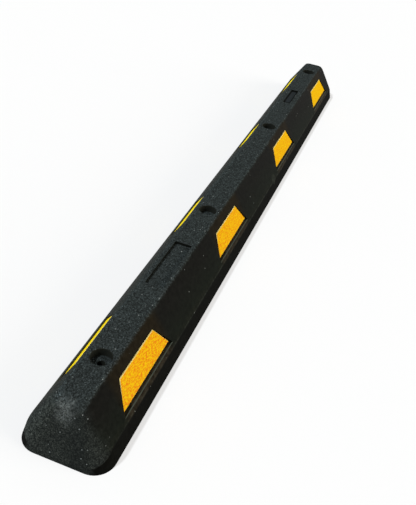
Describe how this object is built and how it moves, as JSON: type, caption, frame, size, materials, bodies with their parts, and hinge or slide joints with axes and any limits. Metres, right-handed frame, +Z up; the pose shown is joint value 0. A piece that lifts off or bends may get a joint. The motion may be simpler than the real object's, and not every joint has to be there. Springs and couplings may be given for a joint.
{
  "type": "rubber parking block",
  "caption": "Long low rubber parking block with sloped sides and ends, yellow reflective strips in pockets on both slopes and counterbored anchor holes along its flat top.",
  "frame": {"origin": "middle of the foot, on the ground", "axes": "+X along the block, from the picture's near end to its far end; -Y towards the side that the picture shows; +Z up"},
  "size_m": [1.65, 0.15, 0.1],
  "materials": {
    "bonded_rubber_crumb": "matte, fine crumb grain",
    "yellow_reflective_sheet": "satin reflective sheet on a thin plastic plate"
  },
  "bodies": {
    "root": {"rubber_body": "bonded_rubber_crumb", "front_reflector_1": "yellow_reflective_sheet", "front_reflector_2": "yellow_reflective_sheet", "front_reflector_3": "yellow_reflective_sheet", "front_reflector_4": "yellow_reflective_sheet", "rear_reflector_1": "yellow_reflective_sheet", "rear_reflector_2": "yellow_reflective_sheet", "rear_reflector_3": "yellow_reflective_sheet", "rear_reflector_4": "yellow_reflective_sheet"}
  },
  "joints": []
}
